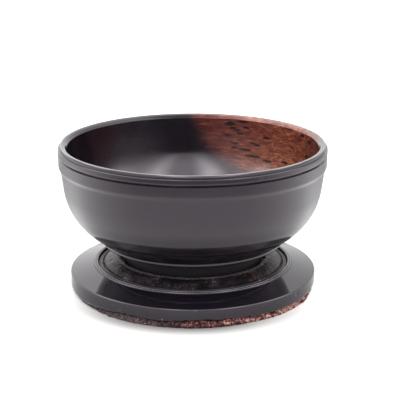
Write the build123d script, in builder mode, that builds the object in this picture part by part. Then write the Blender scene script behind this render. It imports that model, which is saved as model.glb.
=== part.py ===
from build123d import *
import math
import os

# A small turned bowl of black polished wood that stands loose on its own low round stand.
# The frame is in millimetres: +Z is up, the turning axis is Z, and z = 0 is the surface
# that the stand rests on. The stand's bark is thickest towards the front right.

# ---------------------------------------------------------------- driving dimensions

# Bowl, outside
RIM_BEAD_RADIUS = 60.2  # the widest part of the whole object
BEAD_WIDEST_HEIGHT = 63.8
BEAD_TOP = (60.05, 64.7)
RIM_HEIGHT = 66.6  # top of the lip, which is almost flat
LIP_CREST_RADIUS = 58.5
LIP_INNER_RADIUS = 57.6  # where the lip's top turns down into the bevel
QUIRK = (59.3, 65.1)  # the fine corner between the lip and the bead
GROOVE = (59.6, 62.0)  # shallow groove below the bead
BAND_RADIUS = 60.1  # plain band below the groove, flush with the bead
BAND_TOP = 61.3
BAND_BOTTOM = 57.4
SIDE_TOP = (59.2, 55.4)  # where the soft shoulder under the band meets the side
SIDE_LEAN = 82.5  # slope of the upper side, in degrees from level
BELLY_RADIUS = 29.9  # arc of the belly in section
BELLY_CENTRE = (28.4, 50.6)
CONE_ANGLE = 38.2  # slope of the lower belly, in degrees from level
LEDGE_RADIUS = 41.0  # foot ledge, a narrow upright band
LEDGE_TOP = 23.4
LEDGE_BOTTOM = 21.1
UNDERSIDE_HEIGHT = 20.7

# Bowl, inside
ARRIS_RADIUS = 56.2  # foot of the bevel inside the lip
ARRIS_HEIGHT = 65.6
INNER_LEAN = 84.2
INNER_SIDE_BOTTOM = 51.0
INNER_SIDE_RADIUS = 54.7
INNER_BELLY_RADIUS = 30.4
FLOOR_SLOPE = 6.0  # slope where the dished floor meets the inner arc, in degrees

# Bowl foot
FOOT_RADIUS = 31.4
FOOT_BOTTOM = 10.4
FOOT_COVE = 2.5

# Stand plate
PLATE_RADIUS = 55.8
PLATE_EDGE_HEIGHT = 8.2
PLATE_EDGE_ROUND = 0.6
RING_OUTER_RADIUS = 45.1
RING_TOP = 11.9
RING_FOOT = 10.9  # where the plate's sloping top meets the bead ring
SEAT_FLOOR = 6.8  # bottom of the recess that holds the seat collar
RECESS_RADIUS = 43.4

# Seat collar
COLLAR_RADIUS = 43.35
COLLAR_EDGE_HEIGHT = 10.9
COLLAR_GROOVE_RADIUS = 40.8
COLLAR_GROOVE_HEIGHT = 10.5
COLLAR_SHOULDER_HEIGHT = 11.6
COLLAR_RIM_RADIUS = 34.7
COLLAR_RIM_HEIGHT = 14.3
COLLAR_LIP = 1.1
FOOT_REST_HEIGHT = 10.3  # floor of the shallow recess that the bowl's foot stands in
FOOT_GAP = 1.1  # all round the foot, inside the collar

# Loose centring peg
PEG_RADIUS = 4.0
PEG_PLAY = 0.05
PEG_BOTTOM = 4.6
PEG_TOP = 14.6
PEG_CHAMFER = 0.6
PEG_END_PLAY = 0.3

# Bark left on the underside: a slight wedge, cut to a level face below
BARK_CENTRE_THICKNESS = 2.7
BARK_RISE = 1.5  # extra thickness at the plate's edge, on the thick side
BARK_BEARING = -30.0  # direction of the thick side, in degrees from +X
BARK_RADIUS = 55.2

os.makedirs("parts", exist_ok=True)

# The sloping face between the sound wood and the bark
bark_tilt = math.atan(BARK_RISE / PLATE_RADIUS)
bark_direction = (
    math.cos(math.radians(BARK_BEARING)),
    math.sin(math.radians(BARK_BEARING)),
)
bark_face = Plane(
    origin=(0, 0, BARK_CENTRE_THICKNESS),
    z_dir=(
        -math.sin(bark_tilt) * bark_direction[0],
        -math.sin(bark_tilt) * bark_direction[1],
        math.cos(bark_tilt),
    ),
)


def arc_point(centre, radius, slope):
    """The point of a section arc where its tangent rises at this slope, in degrees."""
    angle = math.radians(slope)
    return (centre[0] + radius * math.sin(angle), centre[1] - radius * math.cos(angle))


# ---------------------------------------------------------------- bowl

belly_low = arc_point(BELLY_CENTRE, BELLY_RADIUS, CONE_ANGLE)
belly_mid = arc_point(BELLY_CENTRE, BELLY_RADIUS, (CONE_ANGLE + SIDE_LEAN) / 2)
belly_high = arc_point(BELLY_CENTRE, BELLY_RADIUS, SIDE_LEAN)
cone_drop = (belly_low[0] - LEDGE_RADIUS) * math.tan(math.radians(CONE_ANGLE))
cone_foot = (LEDGE_RADIUS + 0.3, belly_low[1] - cone_drop + 0.6)
bead_foot = (GROOVE[0] + 0.3, GROOVE[1] + 0.55)

inner_high = (INNER_SIDE_RADIUS, INNER_SIDE_BOTTOM)
inner_centre = (
    INNER_SIDE_RADIUS - INNER_BELLY_RADIUS * math.sin(math.radians(INNER_LEAN)),
    INNER_SIDE_BOTTOM + INNER_BELLY_RADIUS * math.cos(math.radians(INNER_LEAN)),
)
inner_mid = arc_point(inner_centre, INNER_BELLY_RADIUS, (INNER_LEAN + FLOOR_SLOPE) / 2)
inner_low = arc_point(inner_centre, INNER_BELLY_RADIUS, FLOOR_SLOPE)
floor_radius = inner_low[0] / math.sin(math.radians(FLOOR_SLOPE))
floor_centre = (0, inner_low[1] - floor_radius * (1 - math.cos(math.radians(FLOOR_SLOPE))))
floor_mid = (
    floor_radius * math.sin(math.radians(FLOOR_SLOPE / 2)),
    floor_centre[1] + floor_radius * (1 - math.cos(math.radians(FLOOR_SLOPE / 2))),
)

with BuildPart() as bowl:
    with BuildSketch(Plane.XZ):
        with BuildLine():
            Polyline(
                (0, FOOT_BOTTOM),
                (FOOT_RADIUS - 0.6, FOOT_BOTTOM),
                (FOOT_RADIUS, FOOT_BOTTOM + 0.6),
                (FOOT_RADIUS, UNDERSIDE_HEIGHT - FOOT_COVE),
            )
            RadiusArc(
                (FOOT_RADIUS, UNDERSIDE_HEIGHT - FOOT_COVE),
                (FOOT_RADIUS + FOOT_COVE, UNDERSIDE_HEIGHT),
                FOOT_COVE,
            )
            Polyline(
                (FOOT_RADIUS + FOOT_COVE, UNDERSIDE_HEIGHT),
                (LEDGE_RADIUS - 1.6, UNDERSIDE_HEIGHT),
                (LEDGE_RADIUS - 0.9, LEDGE_BOTTOM),
            )
            ThreePointArc(
                (LEDGE_RADIUS - 0.9, LEDGE_BOTTOM),
                (LEDGE_RADIUS, (LEDGE_BOTTOM + LEDGE_TOP) / 2),
                (LEDGE_RADIUS - 0.3, LEDGE_TOP),
            )
            Polyline((LEDGE_RADIUS - 0.3, LEDGE_TOP), cone_foot, belly_low)
            ThreePointArc(belly_low, belly_mid, belly_high)
            Polyline(
                belly_high,
                SIDE_TOP,
                (BAND_RADIUS, BAND_BOTTOM),
                (BAND_RADIUS, BAND_TOP),
            )
            ThreePointArc((BAND_RADIUS, BAND_TOP), GROOVE, bead_foot)
            ThreePointArc(bead_foot, (RIM_BEAD_RADIUS, BEAD_WIDEST_HEIGHT), BEAD_TOP)
            Polyline(BEAD_TOP, (QUIRK[0] + 0.4, QUIRK[1]), QUIRK)
            ThreePointArc(
                QUIRK,
                (QUIRK[0] - 0.2, RIM_HEIGHT - 0.45),
                (LIP_CREST_RADIUS, RIM_HEIGHT),
            )
            Line((LIP_CREST_RADIUS, RIM_HEIGHT), (LIP_INNER_RADIUS, RIM_HEIGHT - 0.1))
            ThreePointArc(
                (LIP_INNER_RADIUS, RIM_HEIGHT - 0.1),
                (ARRIS_RADIUS + 0.6, RIM_HEIGHT - 0.45),
                (ARRIS_RADIUS, ARRIS_HEIGHT),
            )
            Line((ARRIS_RADIUS, ARRIS_HEIGHT), inner_high)
            ThreePointArc(inner_high, inner_mid, inner_low)
            ThreePointArc(inner_low, floor_mid, floor_centre)
            Line(floor_centre, (0, FOOT_BOTTOM))
        make_face()
    revolve(axis=Axis.Z)
    with BuildSketch(Plane.XY.offset(FOOT_BOTTOM)):
        Circle(PEG_RADIUS + PEG_PLAY)
    extrude(amount=PEG_TOP + PEG_END_PLAY - FOOT_BOTTOM, mode=Mode.SUBTRACT)

bowl.part.label = "bowl"
export_step(bowl.part, "parts/bowl.step")

# ---------------------------------------------------------------- stand plate

ring_mid_radius = (RECESS_RADIUS + RING_OUTER_RADIUS) / 2

with BuildPart() as stand_plate:
    with BuildSketch(Plane.XZ):
        with BuildLine():
            Polyline(
                (0, 0),
                (PLATE_RADIUS, 0),
                (PLATE_RADIUS, PLATE_EDGE_HEIGHT - PLATE_EDGE_ROUND),
            )
            RadiusArc(
                (PLATE_RADIUS, PLATE_EDGE_HEIGHT - PLATE_EDGE_ROUND),
                (PLATE_RADIUS - PLATE_EDGE_ROUND, PLATE_EDGE_HEIGHT + 0.1),
                -PLATE_EDGE_ROUND * 1.1,
            )
            Polyline(
                (PLATE_RADIUS - PLATE_EDGE_ROUND, PLATE_EDGE_HEIGHT + 0.1),
                (RING_OUTER_RADIUS + 0.2, RING_FOOT),
                (RING_OUTER_RADIUS, RING_FOOT - 0.2),
            )
            # Bead ring: two fine rounds, side by side
            ThreePointArc(
                (RING_OUTER_RADIUS, RING_FOOT - 0.2),
                (RING_OUTER_RADIUS - 0.3, RING_TOP - 0.3),
                (ring_mid_radius, RING_TOP - 0.35),
            )
            ThreePointArc(
                (ring_mid_radius, RING_TOP - 0.35),
                (RECESS_RADIUS + 0.55, RING_TOP),
                (RECESS_RADIUS, RING_TOP - 0.55),
            )
            Polyline(
                (RECESS_RADIUS, RING_TOP - 0.55),
                (RECESS_RADIUS, SEAT_FLOOR),
                (0, SEAT_FLOOR),
                (0, 0),
            )
        make_face()
    revolve(axis=Axis.Z)
    split(bisect_by=bark_face, keep=Keep.TOP)
    with BuildSketch(Plane.XY.offset(PEG_BOTTOM - PEG_END_PLAY)):
        Circle(PEG_RADIUS + PEG_PLAY)
    extrude(amount=SEAT_FLOOR, mode=Mode.SUBTRACT)

stand_plate.part.label = "stand_plate"
export_step(stand_plate.part, "parts/stand_plate.step")

# ---------------------------------------------------------------- seat collar

foot_recess_radius = FOOT_RADIUS + FOOT_GAP

with BuildPart() as seat_collar:
    with BuildSketch(Plane.XZ):
        with BuildLine():
            Polyline(
                (PEG_RADIUS + PEG_PLAY, SEAT_FLOOR),
                (COLLAR_RADIUS, SEAT_FLOOR),
                (COLLAR_RADIUS, COLLAR_EDGE_HEIGHT - 0.5),
                (COLLAR_RADIUS - 0.5, COLLAR_EDGE_HEIGHT),
                (COLLAR_GROOVE_RADIUS + 0.6, COLLAR_EDGE_HEIGHT + 0.15),
                (COLLAR_GROOVE_RADIUS, COLLAR_GROOVE_HEIGHT),
                (COLLAR_GROOVE_RADIUS - 0.5, COLLAR_SHOULDER_HEIGHT),
            )
            ThreePointArc(
                (COLLAR_GROOVE_RADIUS - 0.5, COLLAR_SHOULDER_HEIGHT),
                (COLLAR_RIM_RADIUS + 1.9, COLLAR_RIM_HEIGHT - 0.7),
                (COLLAR_RIM_RADIUS, COLLAR_RIM_HEIGHT),
            )
            Polyline(
                (COLLAR_RIM_RADIUS, COLLAR_RIM_HEIGHT),
                (COLLAR_RIM_RADIUS - COLLAR_LIP, COLLAR_RIM_HEIGHT - 0.1),
                (foot_recess_radius, FOOT_REST_HEIGHT + 2.0),
                (foot_recess_radius, FOOT_REST_HEIGHT),
                (PEG_RADIUS + PEG_PLAY, FOOT_REST_HEIGHT),
                (PEG_RADIUS + PEG_PLAY, SEAT_FLOOR),
            )
        make_face()
    revolve(axis=Axis.Z)

seat_collar.part.label = "seat_collar"
export_step(seat_collar.part, "parts/seat_collar.step")

# ---------------------------------------------------------------- centring peg

with BuildPart() as centring_peg:
    with BuildSketch(Plane.XY.offset(PEG_BOTTOM)):
        Circle(PEG_RADIUS)
    extrude(amount=PEG_TOP - PEG_BOTTOM)
    chamfer(centring_peg.edges().filter_by(GeomType.CIRCLE), length=PEG_CHAMFER)

centring_peg.part.label = "centring_peg"
export_step(centring_peg.part, "parts/centring_peg.step")

# ---------------------------------------------------------------- bark

with BuildPart() as bark_rind:
    with BuildSketch():
        Circle(BARK_RADIUS)
    extrude(amount=PLATE_EDGE_HEIGHT)
    split(bisect_by=bark_face, keep=Keep.BOTTOM)

bark_rind.part.label = "bark_rind"
export_step(bark_rind.part, "parts/bark_rind.step")
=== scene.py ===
import math

import bpy
import numpy as np
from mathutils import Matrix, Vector, noise


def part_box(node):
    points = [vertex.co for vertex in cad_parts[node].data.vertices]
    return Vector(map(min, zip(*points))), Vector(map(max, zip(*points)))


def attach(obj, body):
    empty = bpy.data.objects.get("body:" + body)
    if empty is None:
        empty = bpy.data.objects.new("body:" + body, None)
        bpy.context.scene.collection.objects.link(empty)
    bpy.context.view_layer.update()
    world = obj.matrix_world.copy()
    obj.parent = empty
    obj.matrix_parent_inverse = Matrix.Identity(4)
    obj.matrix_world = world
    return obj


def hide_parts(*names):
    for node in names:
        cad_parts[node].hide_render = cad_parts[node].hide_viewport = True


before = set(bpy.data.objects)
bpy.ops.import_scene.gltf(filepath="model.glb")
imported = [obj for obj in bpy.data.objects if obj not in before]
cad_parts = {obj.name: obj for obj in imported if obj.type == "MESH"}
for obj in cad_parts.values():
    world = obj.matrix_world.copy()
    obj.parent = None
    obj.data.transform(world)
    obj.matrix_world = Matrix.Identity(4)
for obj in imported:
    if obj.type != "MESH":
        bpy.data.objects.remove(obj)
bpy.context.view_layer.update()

# A small turned bowl of black polished wood, loose on its own low round stand. Blender's objects are in
# metres. Half sections are drawn here in millimetres, as (radius, height) points, and lathe() turns them
# into metres. Bearings are in degrees from +X (the right), and -90 is the front.

MM = 0.001


def size_of(node):
    """Outer radius, lowest and highest point of a CAD node, in millimetres."""
    low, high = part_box(node)
    return round(high.x / MM, 1), round(low.z / MM, 1), round(high.z / MM, 1)


# ---------------------------------------------------------------- driving sizes, in millimetres

RIM_RADIUS, FOOT_BOTTOM, RIM_HEIGHT = size_of("bowl")
PLATE_RADIUS, _, RING_TOP = size_of("stand_plate")
COLLAR_RADIUS, SEAT_FLOOR, COLLAR_TOP = size_of("seat_collar")
PEG_RADIUS, PEG_BOTTOM, PEG_TOP = size_of("centring_peg")

# Bowl, outside
LIP_CREST = (58.9, 66.6)
LIP_FLAT = (58.5, 66.58)  # inner edge of the lip's narrow level top
LIP_ROUND = (57.73, 66.45)  # on the broad round inside it
LIP_INNER = (56.95, 66.05)  # where that round turns down into the bevel
LIP_RISE, LIP_SAG = 0.6, 0.25  # how much the rim has risen at the back and sunk at the front
QUIRK = (59.3, 65.1)  # fine corner between the lip and the bead
BEAD_TOP = (60.13, 64.75)
BEAD_FOOT = (59.9, 62.6)
GROOVE = (59.5, 62.1)
BAND_RADIUS = 60.1  # plain band under the groove, flush with the bead
BAND_TOP = 61.75
BAND_BOTTOM = 57.3
SIDE_TOP = (59.2, 55.4)  # foot of the soft shoulder under the band
SIDE_LEAN = 82.5  # slope of the upper side, in degrees from level
BELLY_RADIUS = 29.9
BELLY_CENTRE = (28.4, 50.6)
CONE_ANGLE = 38.2
LEDGE_RADIUS = 41.0
LEDGE_TOP = 23.4
LEDGE_BOTTOM = 21.1
UNDERSIDE_HEIGHT = 20.7

# Bowl, inside
ARRIS = (56.1, 65.05)  # foot of the bevel inside the lip
INNER_LEAN = 84.2
INNER_SIDE_FOOT = (54.7, 51.0)
INNER_BELLY_RADIUS = 30.4
FLOOR_SLOPE = 6.0

# Bowl foot
FOOT_RADIUS = 31.4
FOOT_COVE = 2.5
PEG_PLAY = 0.05
PEG_END_PLAY = 0.3

# Stand plate
PLATE_EDGE_TOP = 8.3
PLATE_EDGE_ROUND = 0.6
RING_OUTER = 45.1
RING_FOOT = 10.9
RECESS_RADIUS = 43.4

# Seat collar
COLLAR_EDGE_TOP = 10.9
COLLAR_GROOVE = (40.8, 10.5)
COLLAR_SHOULDER = (40.3, 11.6)
COLLAR_RIM_RADIUS = 34.7
COLLAR_LIP = 1.1
COLLAR_RUB = (25.0, -28.0, 12.5)  # where the collar is most worn
COLLAR_DUSTY = (-37.0, -3.0, 11.5)  # middle of its dusty place at the left
FOOT_REST = 10.3
FOOT_RECESS_RADIUS = 32.5

# Chips in the bowl's bead and nicks in the plate's edge: depth, bearing, height, width and tallness
BEAD_CHIPS = ((0.45, -21, 63.1, 1.3, 0.8), (0.20, -62, 63.9, 0.9, 0.5), (0.22, 128, 63.4, 1.1, 0.6))
PLATE_NICKS = (
    (0.30, -124, 5.0, 0.9, 0.5),
    (0.25, -89.5, 8.2, 0.7, 0.5),
    (0.35, -36, 6.3, 0.8, 1.0),
    (0.25, 70, 8.2, 1.0, 0.5),
)

# Bark, a slight wedge under the plate
BARK_CENTRE = 2.7  # thickness at the centre
BARK_RISE = 1.5  # what is added at the plate's edge, on the thick side
BARK_BEARING = -30.0
BARK_RADIUS = 55.2


# ---------------------------------------------------------------- mesh making


SHARP_ANGLE = 40  # degrees between faces; anything under it is shaded smooth


class Section:
    """A half section, drawn as a chain of lines and arcs."""

    def __init__(self, radius, height):
        self.points = [(radius, height)]

    def line(self, radius, height, steps=1):
        """A straight run to the point, cut into equal steps."""
        r0, z0 = self.points[-1]
        for i in range(1, steps + 1):
            t = i / steps
            self.points.append((r0 + (radius - r0) * t, z0 + (height - z0) * t))
        return self

    def arc(self, middle, end, steps):
        """A circular arc through the middle point to the end, cut into equal steps."""
        a, b, c = (complex(*p) for p in (self.points[-1], middle, end))
        w = (c - a) / (b - a)
        centre = (a - b) * (w - abs(w) ** 2) / 2j / w.imag - a
        start = a + centre
        turn = np.angle((c + centre) / start) % (2 * math.pi)
        half = np.angle((b + centre) / start) % (2 * math.pi)
        if half > turn:
            turn -= 2 * math.pi
        for i in range(1, steps + 1):
            p = start * complex(math.cos(turn * i / steps), math.sin(turn * i / steps)) - centre
            self.points.append((p.real, p.imag))
        return self

    def last(self):
        """Number of the newest point."""
        return len(self.points) - 1


def arc_point(centre, radius, slope):
    """The point of a section arc where its tangent rises at this slope, in degrees."""
    angle = math.radians(slope)
    return (centre[0] + radius * math.sin(angle), centre[1] - radius * math.cos(angle))


def noise_at(points, size, seed=0.0, octaves=1):
    """Smooth noise from about -1 to 1 at each point, with bumps of this size. Same numbers on each run."""
    scaled = points / size + np.array((seed, seed * 1.7, seed * 0.3))
    if octaves == 1:
        values = [noise.noise(Vector(p)) for p in scaled]
    else:
        values = [noise.fractal(Vector(p), 0.9, 2.1, octaves) for p in scaled]
    return np.array(values)


def lathe(name, section, segments, shape=None):
    """A closed solid turned from a half section. Points on the axis become single poles, and a section
    that stays off the axis closes on itself. shape(bearing, radius, height) may move the points first:
    it takes and returns arrays in millimetres, with one row for each section point."""
    profile = np.array(section.points)
    area = np.sum(profile[:, 0] * np.roll(profile[:, 1], -1) - np.roll(profile[:, 0], -1) * profile[:, 1])
    on_axis = profile[0, 0] < 1e-6 and profile[-1, 0] < 1e-6
    inner = profile[1:-1] if on_axis else profile
    bearing = np.arange(segments) * 2 * math.pi / segments
    rows = len(inner)
    grid_bearing = np.broadcast_to(bearing, (rows, segments)).copy()
    radius = np.repeat(inner[:, :1], segments, 1)
    height = np.repeat(inner[:, 1:], segments, 1)
    if shape:
        radius, height = shape(grid_bearing, radius, height)
    flat = np.stack(
        (radius * np.cos(grid_bearing), radius * np.sin(grid_bearing), height), -1
    ).reshape(-1, 3)
    column = np.arange(segments)
    after = (column + 1) % segments
    faces = []
    face_rows = []
    spans = rows - 1 if on_axis else rows
    for i in range(spans):
        a, b = i * segments, (i + 1) % rows * segments
        faces.append(np.stack((a + column, a + after, b + after, b + column), -1))
        face_rows += [i] * segments
    quads = np.concatenate(faces)
    if area < 0:
        quads = quads[:, ::-1]
    faces = quads.tolist()
    points = flat.tolist()
    if on_axis:
        for pole, ring, height_at, flip, row in (
            (len(points), 0, profile[0, 1], area < 0, 0),
            (len(points) + 1, (rows - 1) * segments, profile[-1, 1], area > 0, rows - 2),
        ):
            points.append((0, 0, height_at))
            for i in range(segments):
                fan = (pole, ring + after[i], ring + i)
                faces.append(fan[::-1] if flip else fan)
                face_rows.append(row)
    mesh = bpy.data.meshes.new(name)
    mesh.from_pydata([(x * MM, y * MM, z * MM) for x, y, z in points], [], faces)
    mesh.shade_smooth()
    mesh.set_sharp_from_angle(angle=math.radians(SHARP_ANGLE))
    obj = bpy.data.objects.new(name, mesh)
    bpy.context.scene.collection.objects.link(obj)
    return obj, np.array(face_rows)


def dents(bearing, height, radius, places):
    """Depth of the small dents or chips at each point of an upright face. Each place is a depth, bearing,
    height, width and tallness."""
    total = 0
    for depth, at_bearing, at_height, width, tall in places:
        along = (bearing - math.radians(at_bearing) + math.pi) % (2 * math.pi) - math.pi
        off_across, off_up = along * radius / width, (height - at_height) / tall
        total = total + depth * np.exp(-(off_across**2) - off_up**2)
    return total


# ---------------------------------------------------------------- node materials


class Nodes:
    """A node tree, with short calls that add nodes and join them."""

    def __init__(self, tree):
        self.tree = tree

    def add(self, kind, inputs=(), **settings):
        node = self.tree.nodes.new("ShaderNode" + kind)
        for setting, value in settings.items():
            setattr(node, setting, value)
        for socket, value in dict(inputs).items():
            self.feed(node.inputs[socket], value)
        return node

    def feed(self, socket, value):
        if isinstance(value, bpy.types.NodeSocket):
            self.tree.links.new(value, socket)
        elif value is not None:
            socket.default_value = value

    def vector(self, operation, a, b=None, scale=None):
        node = self.add("VectorMath", {0: a, 1: b}, operation=operation)
        if scale is not None:
            self.feed(node.inputs["Scale"], scale)
        return node.outputs["Value" if operation in ("LENGTH", "DOT_PRODUCT") else "Vector"]

    def math(self, operation, a, b=None, c=None):
        inputs = {0: a, 1: b} if c is None else {0: a, 1: b, 2: c}
        return self.add("Math", inputs, operation=operation).outputs[0]

    def swing(self, noise_value, amount, middle):
        """The middle value, moved up or down by half the amount at most as the noise goes from 0 to 1."""
        return self.math("MULTIPLY_ADD", self.math("SUBTRACT", noise_value, 0.5), amount, middle)

    def between(self, share, a, b):
        """The value at this share of the way from a to b."""
        return self.math("MULTIPLY_ADD", share, self.math("SUBTRACT", b, a), a)

    def axes(self, vector):
        node = self.add("SeparateXYZ", {0: vector})
        return node.outputs[0], node.outputs[1], node.outputs[2]

    def join(self, x, y, z):
        return self.add("CombineXYZ", {0: x, 1: y, 2: z}).outputs[0]

    def from_axis(self, x, y):
        """Distance from the turning axis."""
        return self.vector("LENGTH", self.join(x, y, 0.0))

    def distance(self, a, b):
        return self.vector("LENGTH", self.vector("SUBTRACT", a, b))

    def noise(self, vector, scale, detail=2.0, roughness=0.5, distortion=0.0):
        inputs = {
            "Vector": vector,
            "Scale": scale,
            "Detail": detail,
            "Roughness": roughness,
            "Distortion": distortion,
        }
        return self.add("TexNoise", inputs).outputs["Fac"]

    def cells(self, vector, scale):
        """Distance to the nearest cell's centre, and a number from 0 to 1 that each cell has for itself."""
        node = self.add("TexVoronoi", {"Vector": vector, "Scale": scale})
        number = self.add("SeparateColor", {0: node.outputs["Color"]}).outputs[0]
        return node.outputs["Distance"], number

    def steps(self, value, start, end, low=0.0, high=1.0, kind="SMOOTHSTEP"):
        """Smooth change from low to high while the value goes from start to end."""
        inputs = {"Value": value, "From Min": start, "From Max": end, "To Min": low, "To Max": high}
        return self.add("MapRange", inputs, interpolation_type=kind).outputs["Result"]

    def ramp(self, value, *stops):
        node = self.add("ValToRGB", {0: value})
        elements = node.color_ramp.elements
        while len(elements) < len(stops):
            elements.new(0.5)
        for element, (place, colour) in zip(elements, stops):
            element.position = place
            element.color = (*colour, 1)
        return node.outputs["Color"]

    def mix(self, share, a, b):
        node = self.add("Mix", data_type="RGBA")
        self.feed(node.inputs[0], share)
        self.feed(node.inputs[6], (*a, 1) if isinstance(a, tuple) else a)
        self.feed(node.inputs[7], (*b, 1) if isinstance(b, tuple) else b)
        return node.outputs[2]


class Shader(Nodes):
    """A material with one Principled shader."""

    def __init__(self, name, **sockets):
        self.material = bpy.data.materials.new(name)
        self.material.use_nodes = True
        super().__init__(self.material.node_tree)
        self.principled = self.tree.nodes["Principled BSDF"]
        for socket, value in sockets.items():
            self.principled.inputs[socket.replace("_", " ")].default_value = value
        coordinates = self.add("TexCoord").outputs["Object"]
        self.place = self.vector("SCALE", coordinates, scale=1 / MM)  # millimetres

    def finish(self, colour, roughness, height):
        """Joins the colour, the roughness and a height in millimetres to the shader."""
        self.feed(self.principled.inputs["Base Color"], colour)
        self.feed(self.principled.inputs["Roughness"], roughness)
        bump = self.add("Bump", {"Height": height, "Strength": 1.0, "Distance": MM})
        self.feed(self.principled.inputs["Normal"], bump.outputs["Normal"])
        return self.material


# The dark dashes of figure inside the bowl: bearing, height, half length and half width in millimetres.
# Each runs along X, as the grain does.
FIGURE_DASHES = (
    (71, 63.2, 1.9, 0.8),
    (64, 64.6, 2.0, 0.45),
    (69, 61.2, 1.3, 0.4),
    (67, 60.2, 1.2, 0.4),
    (62, 61.8, 1.1, 0.4),
    (72, 57.5, 1.3, 0.4),
    (65, 58.8, 1.4, 0.45),
    (50, 58.3, 1.2, 0.35),
    (68, 53.8, 1.6, 0.4),
    (58, 54.8, 1.2, 0.35),
    (55, 54.0, 1.3, 0.4),
    (68, 51.6, 1.2, 0.4),
    (62, 51.1, 2.4, 0.4),
    (57, 48.4, 3.6, 0.45),
    (48, 47.2, 1.5, 0.4),
    (36, 48.5, 1.2, 0.4),
    (24, 63.9, 0.6, 0.5),
    (16, 62.4, 0.6, 0.6),
    (17, 55.3, 0.5, 0.6),
)

DASH_DEPTH = 3.0  # how deep they go along Y
DASH_BEND = 0.55  # how far they are bent out of line, either way

# The brown patch is what a round growth ring, with its axis along Y, cuts from the bowl.
PATCH_CENTRE_X = 36.5
PATCH_CENTRE_Z = 75.5
PATCH_RADIUS = 36.0
PATCH_FRONT_END = -9.0  # how far forward it reaches, in millimetres along Y

# Dull places in the polish inside, half way down the back: centre, radius and roughness added
HAZES = (
    ((-31.0, 44.5, 49.5), 19.0, 0.30),
    ((16.0, 52.5, 53.0), 10.0, 0.23),
    ((33.0, 42.5, 51.0), 14.0, 0.21),
)

# Colours of the black wood
BLACK_DEEP = (0.0033, 0.0026, 0.0042)
BLACK_SOFT = (0.0068, 0.0053, 0.0082)
DUST_SPECK = (0.11, 0.10, 0.10)
# Pale colour of the lip's crest: a painted highlight
CREST_HIGHLIGHT = (0.125, 0.113, 0.118)
RING_DUST = (0.040, 0.034, 0.040)
FOOT_STOPS = ((0.3, (0.005, 0.004, 0.0055)), (0.7, (0.011, 0.0085, 0.0105)))
POLISH_IOR = 1.6
VIOLET_SHEEN = (1.0, 0.91, 0.985, 1)  # the polish reflects a touch violet
GRAIN_STRETCH = 7.0

# The brown patch, from its dark streaks to its pale ones, and its dashes
PATCH_STOPS = (
    (0.25, (0.046, 0.0095, 0.0085)),
    (0.47, (0.090, 0.0225, 0.0155)),
    (0.62, (0.160, 0.049, 0.026)),
    (0.85, (0.34, 0.135, 0.066)),
)
DASH_COLOUR = (0.010, 0.0042, 0.0044)

# The collar: bare wood, fine dust, pale specks of dust, brown worn places and the painted highlight on its
# thin lip
COLLAR_BARE = (0.0050, 0.0038, 0.0044)
COLLAR_DUST = (0.027, 0.0215, 0.0255)
COLLAR_SPECK = (0.110, 0.098, 0.098)
COLLAR_WORN = (0.078, 0.032, 0.027)
COLLAR_LIP_HIGHLIGHT = (0.09, 0.08, 0.09)

BEECH_STOPS = ((0.3, (0.36, 0.20, 0.10)), (0.7, (0.58, 0.38, 0.21)))
BEECH_FLECK = (0.27, 0.12, 0.055)

# Bark, from its dark crumbs to its pale ones, partly its own colour and partly painted shade and painted
# highlights, and where it is stained
BARK_STOPS = (
    (0.36, (0.008, 0.003, 0.003)),
    (0.54, (0.052, 0.016, 0.017)),
    (0.66, (0.165, 0.062, 0.056)),
    (0.84, (0.48, 0.27, 0.235)),
)
BARK_STAIN_STOPS = ((0.38, (0.016, 0.010, 0.012)), (0.68, (0.115, 0.080, 0.086)))


def inner_wall_radius(height):
    """Radius of the bowl's inner wall at a height, in millimetres."""
    foot_radius, foot_height = INNER_SIDE_FOOT
    if height >= foot_height:
        return foot_radius + (height - foot_height) / math.tan(math.radians(INNER_LEAN))
    centre_r, centre_z = inner_arc_centre()
    return centre_r + math.sqrt(INNER_BELLY_RADIUS**2 - (centre_z - height) ** 2)


def inner_arc_centre():
    """Centre of the inner belly's arc in section."""
    lean = math.radians(INNER_LEAN)
    return (
        INNER_SIDE_FOOT[0] - INNER_BELLY_RADIUS * math.sin(lean),
        INNER_SIDE_FOOT[1] + INNER_BELLY_RADIUS * math.cos(lean),
    )


def polish_marks(s, depth=1.0):
    """Height of the fine marks that sanding and polishing on the lathe leave, which run round the axis."""
    x, y, z = s.axes(s.place)
    radius = s.from_axis(x, y)
    across = s.join(radius, z, s.math("MULTIPLY", s.math("ADD", x, y), 0.02))
    fine = s.noise(across, 3.0, 3.0, 0.6)
    broad = s.noise(across, 0.35, 1.0, 0.5)
    pits = s.noise(s.place, 1.6, 2.0, 0.6)
    height = s.math("MULTIPLY", fine, 0.0011 * depth)
    height = s.math("MULTIPLY_ADD", broad, 0.006 * depth, height)
    return s.math("MULTIPLY_ADD", pits, 0.0016 * depth, height)


def grain(s):
    """Place with lengths along the grain, which runs along X, made short."""
    return s.vector("MULTIPLY", s.place, (1 / GRAIN_STRETCH, 1.0, 1.0))


def black_wood(s):
    """Colour of the black wood: almost black, a touch violet, with faint streaks of grain."""
    streaks = s.noise(grain(s), 0.9, 4.0, 0.6, 0.4)
    colour = s.ramp(streaks, (0.32, BLACK_DEEP), (0.75, BLACK_SOFT))
    distance, number = s.cells(s.place, 0.085)
    speck = s.math("LESS_THAN", distance, s.steps(number, 0.75, 1.0, 0.0, 0.035))
    return s.mix(speck, colour, DUST_SPECK)


def polish_roughness(s, low, high):
    """Roughness of the polish, with dull places and hair scratches."""
    clouds = s.noise(s.place, 0.12, 3.0, 0.6)
    scratches = s.noise(s.vector("MULTIPLY", s.place, (0.25, 1.0, 2.5)), 2.2, 2.0, 0.7)
    base = s.steps(clouds, 0.3, 0.75, low, high)
    return s.math("MULTIPLY_ADD", s.steps(scratches, 0.60, 0.80), 0.06, base)


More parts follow.
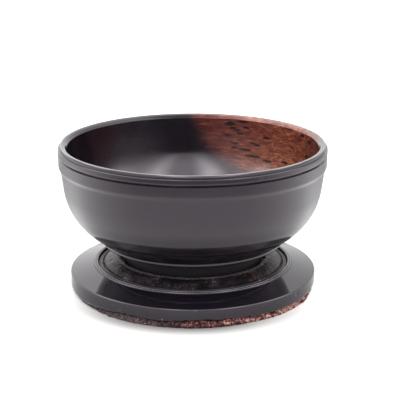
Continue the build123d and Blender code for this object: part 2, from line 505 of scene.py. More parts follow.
def bowl_outside_material():
    """Polished black wood, with a pale painted highlight along the crest of the lip."""
    s = Shader("black_wood_outside", IOR=POLISH_IOR, Specular_Tint=VIOLET_SHEEN)
    x, y, z = s.axes(s.place)
    radius = s.from_axis(x, y)
    crest = s.math("MULTIPLY", s.steps(radius, LIP_CREST[0] + 0.15, LIP_CREST[0] - 0.1),
                   s.steps(radius, LIP_FLAT[0] - 0.35, LIP_FLAT[0] - 0.05))
    crest = s.math("MULTIPLY", crest, s.steps(z, LIP_ROUND[1] - 0.6, LIP_ROUND[1] - 0.4))
    # Paints a pale highlight along the crest of the lip
    colour = s.mix(crest, black_wood(s), CREST_HIGHLIGHT)
    return s.finish(colour, polish_roughness(s, 0.09, 0.15), polish_marks(s))


def bowl_foot_material():
    """The underside and the foot were blackened but not polished."""
    s = Shader("black_wood_foot", Specular_IOR_Level=0.15)
    tool_marks = s.noise(s.vector("MULTIPLY", s.place, (0.3, 0.3, 2.4)), 1.1, 3.0, 0.6)
    colour = s.ramp(tool_marks, *FOOT_STOPS)
    roughness = s.steps(tool_marks, 0.3, 0.7, 0.52, 0.62)
    return s.finish(colour, roughness, s.math("MULTIPLY", tool_marks, 0.03))


def bowl_inside_material():
    """Black wood with the orange-brown patch at the back right, its streaks and its dark dashes, with
    painted shade towards the patch's front end and a painted highlight near the rim top.
    """
    s = Shader("black_wood_inside", IOR=POLISH_IOR, Specular_Tint=VIOLET_SHEEN)
    x, y, z = s.axes(s.place)
    along = grain(s)
    drift = s.noise(along, 0.16, 3.0, 0.55, 0.3)
    across, up = s.math("SUBTRACT", x, PATCH_CENTRE_X), s.math("SUBTRACT", z, PATCH_CENTRE_Z)
    depth = s.math("SUBTRACT", PATCH_RADIUS, s.vector("LENGTH", s.join(across, 0.0, up)))
    depth = s.swing(drift, 8.0, depth)
    patch = s.steps(depth, -5.0, 4.5)
    # The patch fades out over a long way towards its front end: painted shade where the rim shades the
    # front right wall
    front = s.swing(drift, 9.0, y)
    patch = s.math("MULTIPLY", patch, s.steps(front, PATCH_FRONT_END - 5.0, PATCH_FRONT_END + 40.0))

    layers = s.vector("MULTIPLY", s.place, (0.12, 0.30, 1.0))
    streaks = s.noise(layers, 0.75, 5.0, 0.62, 0.9)
    hair = s.noise(s.vector("MULTIPLY", s.place, (0.10, 0.35, 1.6)), 2.2, 2.0, 0.6, 0.4)
    tone = s.swing(hair, 0.40, streaks)
    warmth = s.math("ADD", s.steps(x, 8.0, 44.0, -0.12, 0.06), s.steps(z, 48.0, 62.0, 0.07, -0.05))
    # Lighter near the rim's top: a painted highlight on the bevel
    warmth = s.math("ADD", warmth, s.steps(z, 64.8, 66.0, 0.0, 0.16))
    tone = s.math("ADD", tone, warmth)
    brown = s.ramp(tone, *PATCH_STOPS)

    bend = s.add("TexNoise", {"Vector": along, "Scale": 0.9}).outputs["Color"]
    bent = s.vector("ADD", s.place, s.vector("SCALE", bend, scale=2 * DASH_BEND))
    nearest = None
    for bearing, height, half_length, half_width in FIGURE_DASHES:
        angle = math.radians(bearing)
        wall = inner_wall_radius(height)
        x_middle, y_middle = wall * math.cos(angle), wall * math.sin(angle)
        centre = (x_middle + DASH_BEND, y_middle + DASH_BEND, height + DASH_BEND)
        inputs = {"Vector": bent, "Location": centre, "Scale": (half_length, DASH_DEPTH, half_width)}
        dash = s.vector("LENGTH", s.add("Mapping", inputs, vector_type="TEXTURE").outputs[0])
        nearest = dash if nearest is None else s.math("MINIMUM", nearest, dash)
    dashes = s.steps(nearest, 1.75, 1.0)
    fleck_space = s.vector("MULTIPLY", s.place, (0.3, 0.8, 1.0))
    distance, number = s.cells(fleck_space, 0.42)
    flecks = s.math("LESS_THAN", distance, s.steps(number, 0.6, 1.0, 0.0, 0.17))
    dark = s.math("MAXIMUM", dashes, s.math("MULTIPLY", flecks, 0.8))
    brown = s.mix(dark, brown, DASH_COLOUR)
    colour = s.mix(patch, black_wood(s), brown)
    roughness = polish_roughness(s, 0.08, 0.13)
    for centre, radius, amount in HAZES:
        offset = s.vector("MULTIPLY", s.vector("SUBTRACT", s.place, centre), (1.0, 1.0, 1.5))
        from_haze = s.vector("LENGTH", offset)
        roughness = s.math("ADD", roughness, s.steps(from_haze, radius + 14.0, -4.0, 0.0, amount))
    return s.finish(colour, roughness, polish_marks(s))


def stand_material():
    """The stand's polish is a little sharper than the bowl's. Its bead ring is dusty and worn dull."""
    s = Shader("black_wood_stand", IOR=POLISH_IOR, Specular_Tint=VIOLET_SHEEN)
    x, y, z = s.axes(s.place)
    radius = s.from_axis(x, y)
    grit = s.noise(s.place, 1.5, 3.0, 0.7)
    ring = s.math("MULTIPLY", s.steps(radius, RING_OUTER + 0.1, RING_OUTER - 0.3), s.steps(z, 9.0, 9.6))
    dusty = s.math("MULTIPLY", ring, s.steps(grit, 0.35, 0.65))
    colour = s.mix(dusty, black_wood(s), RING_DUST)
    roughness = s.math("MULTIPLY_ADD", dusty, 0.25, polish_roughness(s, 0.05, 0.10))
    height = s.math("MULTIPLY_ADD", s.math("MULTIPLY", ring, grit), 0.05, polish_marks(s, 0.5))
    return s.finish(colour, roughness, height)


def collar_material():
    """Bare turned wood: rough and dusty, with brown places where the surface has worn off, and a painted
    highlight along its lip.
    """
    s = Shader("rough_collar_wood", Specular_IOR_Level=0.16, Specular_Tint=VIOLET_SHEEN)
    x, y, z = s.axes(s.place)
    clouds = s.noise(s.place, 0.16, 4.0, 0.65, 0.6)
    grit = s.noise(s.place, 1.9, 4.0, 0.75)
    dust = s.math("MULTIPLY", s.steps(clouds, 0.40, 0.68), s.steps(grit, 0.34, 0.64))
    colour = s.mix(dust, COLLAR_BARE, COLLAR_DUST)
    specks = s.noise(s.vector("MULTIPLY", s.place, (1.0, 1.0, 0.8)), 1.1, 2.0, 0.6)
    from_dusty = s.distance(s.place, COLLAR_DUSTY)
    dusty = s.steps(from_dusty, 19.0, 4.0, -0.04, 0.08)
    pale = s.steps(s.math("ADD", s.swing(clouds, 0.5, specks), dusty), 0.62, 0.70)
    colour = s.mix(pale, colour, COLLAR_SPECK)
    worn = s.noise(s.vector("MULTIPLY", s.place, (0.5, 0.8, 1.4)), 0.30, 3.0, 0.6)
    from_rub = s.distance(s.place, COLLAR_RUB)
    worn = s.math("ADD", worn, s.steps(from_rub, 11.0, 2.0, -0.04, 0.10))
    worn = s.math("MULTIPLY", s.steps(worn, 0.58, 0.66), s.steps(grit, 0.42, 0.60))
    colour = s.mix(worn, colour, COLLAR_WORN)
    roughness = s.steps(grit, 0.35, 0.65, 0.24, 0.46)
    # A pale painted highlight along the top of the lip
    rim = s.math("MULTIPLY", s.steps(z, COLLAR_TOP - 0.35, COLLAR_TOP - 0.1), s.steps(grit, 0.35, 0.6))
    colour = s.mix(rim, colour, COLLAR_LIP_HIGHLIGHT)
    height = s.math("MULTIPLY", grit, 0.04)
    return s.finish(colour, roughness, height)


def peg_material():
    """Plain beech dowel."""
    s = Shader("beech_peg", IOR=1.5)
    lengthways = s.vector("MULTIPLY", s.place, (1.0, 1.0, 0.12))
    fibres = s.noise(lengthways, 1.4, 4.0, 0.6, 0.2)
    flecks = s.noise(s.vector("MULTIPLY", s.place, (2.2, 2.2, 0.5)), 1.2, 1.0)
    colour = s.ramp(fibres, *BEECH_STOPS)
    colour = s.mix(s.steps(flecks, 0.62, 0.72), colour, BEECH_FLECK)
    height = s.math("MULTIPLY", fibres, 0.05)
    return s.finish(colour, s.steps(fibres, 0.3, 0.7, 0.62, 0.5), height)


def bark_material():
    """Crumbly reddish bark whose dark and pale crumbs are partly painted shade and painted highlights,
    darker towards the bottom with painted shade, and blackened at the left.
    """
    s = Shader("red_bark", IOR=1.45, Specular_IOR_Level=0.3)
    x, y, z = s.axes(s.place)
    broad = s.noise(s.vector("MULTIPLY", s.place, (0.7, 0.7, 1.6)), 0.35, 3.0, 0.6, 0.5)
    crumbs = s.noise(s.place, 0.95, 4.0, 0.7)
    tone = s.swing(crumbs, 1.5, broad)
    tone = s.math("ADD", tone, s.steps(x, 0.0, 38.0, -0.03, 0.19))
    # Darker towards the bottom: painted shade in the gap along the floor
    tone = s.math("ADD", tone, s.steps(z, 0.1, 1.7, -0.13, 0.02))
    colour = s.ramp(tone, *BARK_STOPS)
    left = s.steps(s.swing(broad, 30.0, x), -6.0, -24.0)
    stained = s.ramp(crumbs, *BARK_STAIN_STOPS)
    colour = s.mix(left, colour, stained)
    height = s.math("MULTIPLY", crumbs, 0.6)
    return s.finish(colour, s.steps(broad, 0.3, 0.7, 0.75, 0.95), height)


# ---------------------------------------------------------------- pieces


def bowl_section():
    """The bowl's half section, and the numbers of the points where the outside and the inside begin."""
    hole = PEG_RADIUS + PEG_PLAY
    s = Section(0, PEG_TOP + PEG_END_PLAY)
    s.line(hole, PEG_TOP + PEG_END_PLAY, 2).line(hole, FOOT_BOTTOM + 0.3, 3)
    s.line(hole + 0.3, FOOT_BOTTOM)
    for ring in (12.0, 22.0):
        s.line(ring - 0.5, FOOT_BOTTOM, 5).line(ring, FOOT_BOTTOM + 0.35).line(ring + 0.5, FOOT_BOTTOM)
    s.line(FOOT_RADIUS - 0.6, FOOT_BOTTOM, 5)
    s.arc((FOOT_RADIUS - 0.17, FOOT_BOTTOM + 0.17), (FOOT_RADIUS, FOOT_BOTTOM + 0.6), 4)
    s.line(FOOT_RADIUS, UNDERSIDE_HEIGHT - FOOT_COVE, 5)
    cove = FOOT_COVE * (1 - math.sqrt(0.5))
    s.arc((FOOT_RADIUS + cove, UNDERSIDE_HEIGHT - cove),
          (FOOT_RADIUS + FOOT_COVE, UNDERSIDE_HEIGHT), 7)
    s.line(LEDGE_RADIUS - 1.6, UNDERSIDE_HEIGHT, 4).line(LEDGE_RADIUS - 0.9, LEDGE_BOTTOM, 2)
    foot_end = s.last()
    ledge_middle = (LEDGE_BOTTOM + LEDGE_TOP) / 2
    s.arc((LEDGE_RADIUS - 0.25, LEDGE_BOTTOM + 0.35), (LEDGE_RADIUS, ledge_middle - 0.25), 4)
    s.line(LEDGE_RADIUS - 0.05, ledge_middle).line(LEDGE_RADIUS, ledge_middle + 0.25)
    s.line(LEDGE_RADIUS - 0.02, LEDGE_TOP - 0.3, 2)
    s.arc((LEDGE_RADIUS - 0.1, LEDGE_TOP - 0.08), (LEDGE_RADIUS - 0.32, LEDGE_TOP), 3)

    belly_low = arc_point(BELLY_CENTRE, BELLY_RADIUS, CONE_ANGLE)
    drop = (belly_low[0] - LEDGE_RADIUS) * math.tan(math.radians(CONE_ANGLE))
    s.arc((LEDGE_RADIUS - 0.28, LEDGE_TOP + 0.12), (LEDGE_RADIUS + 0.3, belly_low[1] - drop + 0.3), 3)
    s.line(*belly_low, 9)
    middle = arc_point(BELLY_CENTRE, BELLY_RADIUS, (CONE_ANGLE + SIDE_LEAN) / 2)
    high = arc_point(BELLY_CENTRE, BELLY_RADIUS, SIDE_LEAN)
    s.arc(middle, high, 44)

    s.line(SIDE_TOP[0] - 0.05, SIDE_TOP[1] - 0.5, 8)
    s.arc((SIDE_TOP[0] + 0.05, SIDE_TOP[1]), (SIDE_TOP[0] + 0.2, SIDE_TOP[1] + 0.5), 4)
    s.line(BAND_RADIUS - 0.2, BAND_BOTTOM - 0.5, 3)
    s.arc((BAND_RADIUS - 0.04, BAND_BOTTOM), (BAND_RADIUS, BAND_BOTTOM + 0.5), 4)
    s.line(BAND_RADIUS, BAND_TOP, 4).line(*GROOVE, 3).line(*BEAD_FOOT, 3)
    s.arc((BEAD_FOOT[0] + 0.23, BEAD_FOOT[1] + 0.3), (RIM_RADIUS, BEAD_FOOT[1] + 0.75), 5)
    s.line(*BEAD_TOP, 3)
    s.arc((BEAD_TOP[0] - 0.10, BEAD_TOP[1] + 0.22), (QUIRK[0] + 0.5, QUIRK[1] - 0.02), 5)
    s.line(*QUIRK)
    s.arc((QUIRK[0] - 0.18, QUIRK[1] + 1.0), LIP_CREST, 12)
    s.line(*LIP_FLAT, 2).arc(LIP_ROUND, LIP_INNER, 8)
    lip_end = s.last() - 6
    # Tight rows keep the smooth shading from spreading out from the arris
    s.line(ARRIS[0] + 0.04, ARRIS[1] + 0.05, 6).line(*ARRIS).line(ARRIS[0] - 0.005, ARRIS[1] - 0.05)
    s.line(*INNER_SIDE_FOOT, 14)
    centre = inner_arc_centre()
    low = arc_point(centre, INNER_BELLY_RADIUS, FLOOR_SLOPE)
    s.arc(arc_point(centre, INNER_BELLY_RADIUS, (INNER_LEAN + FLOOR_SLOPE) / 2), low, 40)
    dish = low[0] / math.sin(math.radians(FLOOR_SLOPE))
    floor_height = low[1] - dish * (1 - math.cos(math.radians(FLOOR_SLOPE)))
    half_slope = math.radians(FLOOR_SLOPE / 2)
    floor_middle = (dish * math.sin(half_slope), floor_height + dish * (1 - math.cos(half_slope)))
    s.arc(floor_middle, (0, floor_height), 12)
    return s, foot_end, lip_end


def bowl_shape(bearing, radius, height):
    """Small unevenness of a hand-turned bowl, the warp of its rim, and the chips in its bead."""
    wobble = 0.03 * np.sin(3 * bearing + 0.6) + 0.02 * np.sin(5 * bearing + height / 9)
    near_rim = np.clip((height - 50) / (RIM_HEIGHT - 50), 0, 1) ** 2
    chips = dents(bearing, height, RIM_RADIUS, BEAD_CHIPS)
    outside = radius > QUIRK[0]
    share = np.clip((height - FOOT_BOTTOM) / (RIM_HEIGHT - FOOT_BOTTOM), 0, 1)
    warp = np.where(np.sin(bearing) > 0, LIP_RISE, LIP_SAG) * np.sin(bearing)
    height = height + warp * near_rim
    return radius + wobble * share - np.where(outside, chips, 0), height


def make_bowl():
    """The turned bowl, with its foot, outside and inside in three materials."""
    section, foot_end, inside = bowl_section()
    obj, rows = lathe("turned_bowl", section, 480, bowl_shape)
    obj.data.materials.append(bowl_foot_material())
    obj.data.materials.append(bowl_outside_material())
    obj.data.materials.append(bowl_inside_material())
    zone = np.int32(rows >= foot_end - 1) + np.int32(rows >= inside - 1)
    obj.data.polygons.foreach_set("material_index", zone)
    return obj


def bark_face_height(bearing, radius):
    """Height of the sloping face between the sound wood and the bark."""
    return BARK_CENTRE + BARK_RISE * radius / PLATE_RADIUS * np.cos(bearing - math.radians(BARK_BEARING))


def crumble_line(bearing):
    """How far the bark's broken upper edge stands above the sloping face, at the plate's edge."""
    flat = bearing.reshape(-1)
    ring = np.stack((np.cos(flat), np.sin(flat), np.zeros_like(flat)), -1) * PLATE_RADIUS
    rise = 0.45 * noise_at(ring, 6.0, 3.0)
    rise = rise + 0.40 * noise_at(ring, 1.7, 8.0) + 0.30 * noise_at(ring, 0.8, 5.0)
    thick = 0.5 + 0.5 * np.cos(flat - math.radians(BARK_BEARING))
    places = (0, 180, 213, 223, 238, 244, 255, 270, 291, 303, 315, 328, 338, 350)
    sags = (0, 0, -0.7, -0.2, 0.5, 0.6, -0.8, 0.0, -0.9, -1.5, -1.6, -1.5, -1.5, -0.8)
    sag = np.interp(np.degrees(flat) % 360, places, sags, period=360)
    return (rise * (0.25 + 0.6 * thick) + sag).reshape(bearing.shape)


def plate_section():
    """The stand plate's half section, with its blind centre hole, its recess and its double bead ring."""
    hole = PEG_RADIUS + PEG_PLAY
    blind = PEG_BOTTOM - PEG_END_PLAY
    ring_middle = (RECESS_RADIUS + RING_OUTER) / 2
    s = Section(0, blind)
    s.line(hole, blind, 2).line(hole, SEAT_FLOOR, 2).line(RECESS_RADIUS, SEAT_FLOOR, 4)
    s.line(RECESS_RADIUS, RING_TOP - 0.55, 3)
    s.arc((RECESS_RADIUS + 0.55, RING_TOP), (ring_middle, RING_TOP - 0.42), 10)
    s.arc((RING_OUTER - 0.3, RING_TOP - 0.3), (RING_OUTER, RING_FOOT - 0.2), 10)
    s.line(RING_OUTER + 0.2, RING_FOOT)
    top_outer = PLATE_RADIUS - PLATE_EDGE_ROUND
    s.line(top_outer, PLATE_EDGE_TOP, 22)
    s.arc((PLATE_RADIUS - 0.15, PLATE_EDGE_TOP - 0.22), (PLATE_RADIUS, PLATE_EDGE_TOP - 0.7), 7)
    s.line(PLATE_RADIUS, 0.9, 16).line(PLATE_RADIUS - 0.15, 0.35, 2).line(PLATE_RADIUS - 0.6, 0)
    s.line(BARK_RADIUS - 4, 0, 4).line(0, 0, 10)
    return s


def plate_shape(bearing, radius, height):
    """Fits the plate's lower edge to the bark's broken line, and adds the nicks in its edge."""
    face = bark_face_height(bearing, radius)
    line = np.maximum(face + crumble_line(bearing), 0.08)
    edge = radius > PLATE_RADIUS - 0.7
    under = (height < 0.01) & ~edge
    top = PLATE_EDGE_TOP
    squeezed = line + height * (top - line) / top
    below_top = edge & (height < top - 0.7)
    height = np.where(below_top, squeezed, height)
    height = np.where(under, np.maximum(face, 0.08), height)
    nicks = dents(bearing, height, PLATE_RADIUS, PLATE_NICKS)
    wobble = 0.04 * np.sin(2 * bearing + 1.0) + 0.02 * np.sin(7 * bearing)
    return radius - np.where(edge, nicks - wobble, 0), height


def make_plate():
    obj, _ = lathe("turned_plate", plate_section(), 720, plate_shape)
    obj.data.materials.append(stand_material())
    return obj


def collar_section():
    """The collar's half section, a ring on the plate's recess with a recess of its own for the foot."""
    hole = PEG_RADIUS + PEG_PLAY
    s = Section(hole, SEAT_FLOOR)
    s.line(COLLAR_RADIUS, SEAT_FLOOR, 4).line(COLLAR_RADIUS, COLLAR_EDGE_TOP - 0.5, 2)
    s.line(COLLAR_RADIUS - 0.4, COLLAR_EDGE_TOP, 2)
    s.line(COLLAR_GROOVE[0] + 0.6, COLLAR_EDGE_TOP + 0.15, 8)
    s.arc((COLLAR_GROOVE[0] + 0.25, COLLAR_GROOVE[1] + 0.12), COLLAR_GROOVE, 4)
    s.arc((COLLAR_GROOVE[0] - 0.4, COLLAR_GROOVE[1] + 0.4), COLLAR_SHOULDER, 4)
    s.arc((COLLAR_RIM_RADIUS + 1.9, COLLAR_TOP - 0.7), (COLLAR_RIM_RADIUS, COLLAR_TOP), 16)
    s.line(COLLAR_RIM_RADIUS - COLLAR_LIP, COLLAR_TOP - 0.1, 4)
    s.line(FOOT_RECESS_RADIUS, FOOT_REST + 2.0, 3).line(FOOT_RECESS_RADIUS, FOOT_REST + 0.15, 4)
    s.line(FOOT_RECESS_RADIUS - 0.3, FOOT_REST)
    s.line(hole + 0.3, FOOT_REST, 44).line(hole, FOOT_REST - 0.3).line(hole, SEAT_FLOOR, 2)
    return s


def collar_shape(bearing, radius, height):
    """Rough tool work: radial cuts on the outer band, torn and dusty grain on the dome."""
    place = np.stack((radius * np.cos(bearing), radius * np.sin(bearing), height), -1).reshape(-1, 3)
    rough = noise_at(place, 1.3, 2.0, 3).reshape(radius.shape)
    lumps = noise_at(place, 5.0, 6.0).reshape(radius.shape)
    seen = (height > FOOT_REST + 1.5) & (radius > FOOT_RECESS_RADIUS + 0.2) & (radius < COLLAR_RADIUS - 0.2)
    band = seen & (radius > COLLAR_GROOVE[0] + 0.3)
    dome = seen & ~band
    ticks = np.sin(bearing * 74 + 1.5 * lumps) * 0.7 + np.sin(bearing * 51 + 2.0) * 0.3
    height = height + np.where(band, 0.06 * ticks + 0.06 * rough, 0)
    height = height + np.where(dome, 0.13 * rough + 0.10 * lumps, 0)
    floor = (np.abs(height - FOOT_REST) < 0.01) & (radius < FOOT_RECESS_RADIUS - 0.4)
    rings = 0.03 * np.cos(radius * 5.2) + 0.015 * rough - 0.05
    return radius, height + np.where(floor & (radius > PEG_RADIUS + 1), rings, 0)


def make_collar():
    obj, _ = lathe("rough_collar", collar_section(), 900, collar_shape)
    obj.data.materials.append(collar_material())
    return obj


def make_peg():
    """A dowel with chamfered ends and shallow flutes."""
    s = Section(0, PEG_BOTTOM)
    s.line(PEG_RADIUS - 0.6, PEG_BOTTOM, 4).line(PEG_RADIUS, PEG_BOTTOM + 0.6, 2)
    s.line(PEG_RADIUS, PEG_TOP - 0.6, 12).line(PEG_RADIUS - 0.6, PEG_TOP, 2).line(0, PEG_TOP, 4)

    def flutes(bearing, radius, height):
        deep = 0.16 * np.clip(np.cos(bearing * 12), 0, 1) ** 2
        return radius - np.where(radius > PEG_RADIUS - 0.1, deep, 0), height

    obj, _ = lathe("dowel", s, 144, flutes)
    obj.data.materials.append(peg_material())
    return obj


def bark_set_back(bearing):
    """How far the bark's side stands inside its CAD radius. It is proud at the front and right front, worn
    back at the left, and cut away on the right beyond the thick part."""
    degrees = np.degrees(bearing) % 360
    places = (0, 60, 180, 215, 230, 270, 300, 333, 343, 360)
    depths = (2.2, 1.6, 2.3, 1.9, 0.6, 0.1, 0.8, 1.0, 2.2, 2.2)
    return np.interp(degrees, places, depths)


def bark_section():
    """The bark's half section with a flat top and bottom: bark_shape() breaks it up."""
    s = Section(0, 1)
    s.line(BARK_RADIUS - 3, 1, 4).line(BARK_RADIUS, 1, 6)
    s.line(BARK_RADIUS, 0, 14)
    s.line(BARK_RADIUS - 8, 0, 18).line(0, 0, 34)
    return s


def bark_shape(bearing, radius, height):
    """Fits the bark under the plate and crumbles what can be seen of it."""
    line = crumble_line(bearing)
    side = radius > BARK_RADIUS - 0.01
    face = bark_face_height(bearing, radius)
    near_edge = np.clip((radius - (BARK_RADIUS - 3)) / 3, 0, 1)
    top = np.maximum(face + line * near_edge**2 - 0.03, 0.3)
    place = np.stack(
        (radius * np.cos(bearing), radius * np.sin(bearing), height * top), -1
    ).reshape(-1, 3)
    lumps = noise_at(place, 2.6, 1.0, 4).reshape(radius.shape)
    crumbs = noise_at(place, 0.9, 4.0, 3).reshape(radius.shape)
    cracks = np.abs(noise_at(place, 3.4, 9.0).reshape(radius.shape))
    level = np.clip(height, 0, 1)
    waist = np.sin(level * math.pi)
    out = (0.75 * lumps + 0.45 * crumbs - 0.9 * np.exp(-((cracks / 0.08) ** 2))) * (0.35 + 0.65 * waist)
    bulge = np.interp(level, (0, 0.15, 0.4, 0.7, 0.9, 1), (1.2, 1.3, 0.8, 0.0, -1.4, -2.2))
    radius = radius + np.where(side, out + bulge - bark_set_back(bearing), 0)
    under = height < 0.01
    rough = np.clip(0.35 + 0.45 * lumps + 0.25 * crumbs, 0, 0.9) * np.minimum(top / 2, 1)
    height = np.where(under, rough, height * top)
    return radius, height


def make_bark():
    obj, _ = lathe("crumbly_bark", bark_section(), 960, bark_shape)
    obj.data.materials.append(bark_material())
    return obj


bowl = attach(make_bowl(), "bowl")
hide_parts("bowl")

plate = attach(make_plate(), "stand")
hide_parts("stand_plate")

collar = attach(make_collar(), "stand")
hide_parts("seat_collar")

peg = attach(make_peg(), "peg")
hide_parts("centring_peg")

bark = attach(make_bark(), "stand")
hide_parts("bark_rind")


# ---------------------------------------------------------------- stage, light and camera, in metres

FLOOR_RADIUS = 4.0
FLOOR_SHADE = 0.82

# Radiance of the surroundings
BACK_LIGHT = 1.5  # low down, behind and at the sides
OVERHEAD_LIGHT = 3.0  # straight overhead and a little behind
FRONT_LOW, FRONT_LIGHT = 1.25, 2.6  # in front, low down and above the camera
HIGH_FRONT_LIGHT = 0.45  # in front, higher still
LEFT_GAIN, RIGHT_GAIN = 1.14, 0.82  # the left is a little brighter than the right
SHEET_GLOW_BEHIND = 0.80  # of the sheet just above the floor, behind the stand

# Two tall bright panels in front, leaning apart: bearing and half width at the foot, then at the top
PANELS = ((-69.0, 8.0, -43.0, 18.0), (-97.0, 8.0, -113.0, 18.0))
PANEL_FOOT, PANEL_TOP = 14.0, 41.0  # their elevations
PANEL_GLOW = 4.6

# A soft light over the floor on either side
WASH_SIZE = 0.35
WASH_DISTANCE = 0.45
WASH_ELEVATION = 50
WASH_RADIANCE = 2.5


def plain_mesh(name, points, faces, material):
    """A piece of the stage, made from its points and faces."""
    mesh = bpy.data.meshes.new(name)
    mesh.from_pydata(points, [], faces)
    obj = bpy.data.objects.new(name, mesh)
    bpy.context.scene.collection.objects.link(obj)
    obj.data.materials.append(material)
    return obj


def make_floor():
    """Pale floor, with a painted shadow just round the stand, darkest in front."""
    points = [(0, 0, 0)]
    sides = 96
    for i in range(sides):
        angle = 2 * math.pi * i / sides
        points.append((FLOOR_RADIUS * math.cos(angle), FLOOR_RADIUS * math.sin(angle), 0))
    faces = [(0, i + 1, (i + 1) % sides + 1) for i in range(sides)]
    s = Shader("pale_floor", Roughness=0.8, Specular_IOR_Level=0.0)
    x, y, z = s.axes(s.place)
    radius = s.from_axis(x, y)
    # Painted shadow round the stand, darkest in front and lighter to the right
    shadow_grey = s.math("ADD", s.steps(y, -10.0, -58.0, 0.70, 0.20), s.steps(x, 5.0, 40.0, 0.0, 0.16))
    beyond_shadow = s.steps(radius, 55.0, 70.0)
    shade = s.between(beyond_shadow, shadow_grey, FLOOR_SHADE)
    warm = s.join(shade, s.math("MULTIPLY", shade, 0.98), s.math("MULTIPLY", shade, 0.965))
    s.feed(s.principled.inputs["Base Color"], warm)
    plain_mesh("floor", points, faces, s.material)


def make_world():
    """Soft white surroundings, bright overhead and in front above the camera, with the two panels."""
    world = bpy.data.worlds.new("studio")
    bpy.context.scene.world = world
    world.use_nodes = True
    n = Nodes(world.node_tree)
    background = n.tree.nodes["Background"]
    x, y, z = n.axes(n.add("TexCoord").outputs["Generated"])
    behind = n.steps(z, 0.45, 0.90, BACK_LIGHT, OVERHEAD_LIGHT)
    behind = n.math("MULTIPLY", behind, n.steps(x, -0.4, 0.4, LEFT_GAIN, RIGHT_GAIN))
    front = n.steps(z, 0.12, 0.55, FRONT_LOW, FRONT_LIGHT)
    in_front = n.steps(y, 0.06, -0.16)
    front = n.between(n.steps(z, 0.80, 0.92), front, HIGH_FRONT_LIGHT)
    level = n.between(in_front, behind, front)
    bearing = n.math("DEGREES", n.math("ARCTAN2", y, x))
    elevation = n.math("DEGREES", n.math("ARCSINE", z))
    glow = n.steps(elevation, PANEL_FOOT - 4.0, PANEL_TOP, 0.3, PANEL_GLOW, "LINEAR")
    glow = n.math("MULTIPLY", glow, n.steps(elevation, PANEL_FOOT - 5.0, PANEL_FOOT))
    glow = n.math("MULTIPLY", glow, n.steps(elevation, PANEL_TOP + 20.0, PANEL_TOP + 6.0))
    for foot, foot_width, top, top_width in PANELS:
        middle = n.steps(elevation, PANEL_FOOT, PANEL_TOP, foot, top, "LINEAR")
        half = n.steps(elevation, PANEL_FOOT, PANEL_TOP, foot_width, top_width, "LINEAR")
        across = n.math("ABSOLUTE", n.math("SUBTRACT", bearing, middle))
        share = n.steps(n.math("DIVIDE", across, half), 1.4, 0.0)
        level = n.math("MULTIPLY_ADD", share, glow, level)
    n.feed(background.inputs["Strength"], level)
    background.inputs["Color"].default_value = (1, 1, 1, 1)


def softbox(name, bearing, aim):
    """A square soft light, aimed at the floor beside the stand and not seen by the camera itself."""
    light = bpy.data.lights.new(name, "AREA")
    light.shape = "RECTANGLE"
    light.size = WASH_SIZE
    light.size_y = WASH_SIZE
    light.energy = WASH_RADIANCE * math.pi * WASH_SIZE * WASH_SIZE
    obj = bpy.data.objects.new(name, light)
    bpy.context.scene.collection.objects.link(obj)
    a, e = math.radians(bearing), math.radians(WASH_ELEVATION)
    place = Vector((math.cos(a) * math.cos(e), math.sin(a) * math.cos(e), math.sin(e))) * WASH_DISTANCE
    obj.location = place + Vector(aim)
    obj.rotation_euler = (-place).to_track_quat("-Z", "Y").to_euler()
    obj.visible_camera = False


def only_in_reflections(obj):
    """Keeps the object from everything but glossy rays."""
    obj.visible_camera = False
    obj.visible_diffuse = False
    obj.visible_shadow = False
    obj.visible_transmission = False


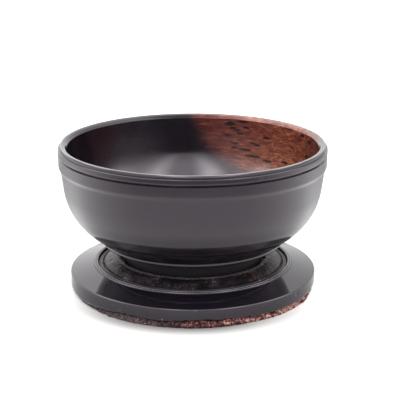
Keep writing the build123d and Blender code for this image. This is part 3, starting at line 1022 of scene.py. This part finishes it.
def make_reflected_floor():
    """A glowing sheet just above the floor, seen only in reflections. It is brightest at the sides."""
    rings, sides = 24, 96
    near, far, above_floor = 0.052, 1.6, 0.0004
    points = []
    for j in range(rings + 1):
        radius = near * (far / near) ** (j / rings)
        for i in range(sides):
            angle = 2 * math.pi * i / sides
            points.append((radius * math.cos(angle), radius * math.sin(angle), above_floor))
    faces = []
    for j in range(rings):
        for i in range(sides):
            a, b = j * sides + i, j * sides + (i + 1) % sides
            faces.append((a, a + sides, b + sides, b))
    s = Shader("glowing_sheet", Base_Color=(0, 0, 0, 1), Specular_IOR_Level=0.0)
    x, y, z = s.axes(s.place)
    radius = s.from_axis(x, y)
    turn = s.math("ABSOLUTE", s.math("DEGREES", s.math("ARCTAN2", x, s.math("MULTIPLY", y, -1.0))))
    front = s.steps(radius, 110.0, 380.0, 1.32, 0.55)
    side = s.steps(radius, 65.0, 115.0, 1.45, 2.1)
    glow = s.between(s.steps(turn, 32.0, 108.0), front, side)
    glow = s.math("MULTIPLY", glow, s.steps(radius, 60.0, 86.0, 0.64, 1.05))
    glow = s.between(s.steps(turn, 98.0, 142.0), glow, SHEET_GLOW_BEHIND)
    s.feed(s.principled.inputs["Emission Color"], (1, 1, 1, 1))
    s.feed(s.principled.inputs["Emission Strength"], glow)
    only_in_reflections(plain_mesh("glowing_sheet", points, faces, s.material))


def make_dark_reflection_board():
    """A low grey board far in front, seen only in reflections, where it paints a darker reflection of the
    front.
    """
    width, height, away = 0.9, 0.28, 1.6
    points = [(-width, -away, 0), (width, -away, 0), (width, -away, height), (-width, -away, height)]
    s = Shader("dark_reflection_board", Base_Color=(0.30, 0.30, 0.30, 1), Roughness=0.9, Specular_IOR_Level=0.0)
    only_in_reflections(plain_mesh("dark_reflection_board", points, [(0, 1, 2, 3)], s.material))


make_floor()
make_reflected_floor()
make_dark_reflection_board()
make_world()
softbox("wash_left", 180, (-0.28, -0.02, 0))
softbox("wash_right", 0, (0.28, -0.02, 0))

CAMERA_DISTANCE = 0.5233  # from the point on the axis at this height
CAMERA_AXIS_HEIGHT = 8.2 * MM
CAMERA_ELEVATION = 19.43
CAMERA_PITCH = 16.15  # degrees below level
CAMERA_YAW = 0.38  # degrees to the right
CAMERA_LENS = 102.0

camera_data = bpy.data.cameras.new("camera")
camera_data.lens = CAMERA_LENS
camera_data.sensor_width = 36.0
camera_data.clip_start = 0.01
camera = bpy.data.objects.new("camera", camera_data)
bpy.context.scene.collection.objects.link(camera)
rise = math.radians(CAMERA_ELEVATION)
camera.location = (
    0,
    -CAMERA_DISTANCE * math.cos(rise),
    CAMERA_DISTANCE * math.sin(rise) + CAMERA_AXIS_HEIGHT,
)
camera.rotation_euler = (math.radians(90 - CAMERA_PITCH), 0, -math.radians(CAMERA_YAW))
bpy.context.scene.camera = camera
bpy.context.scene.view_settings.view_transform = "Standard"
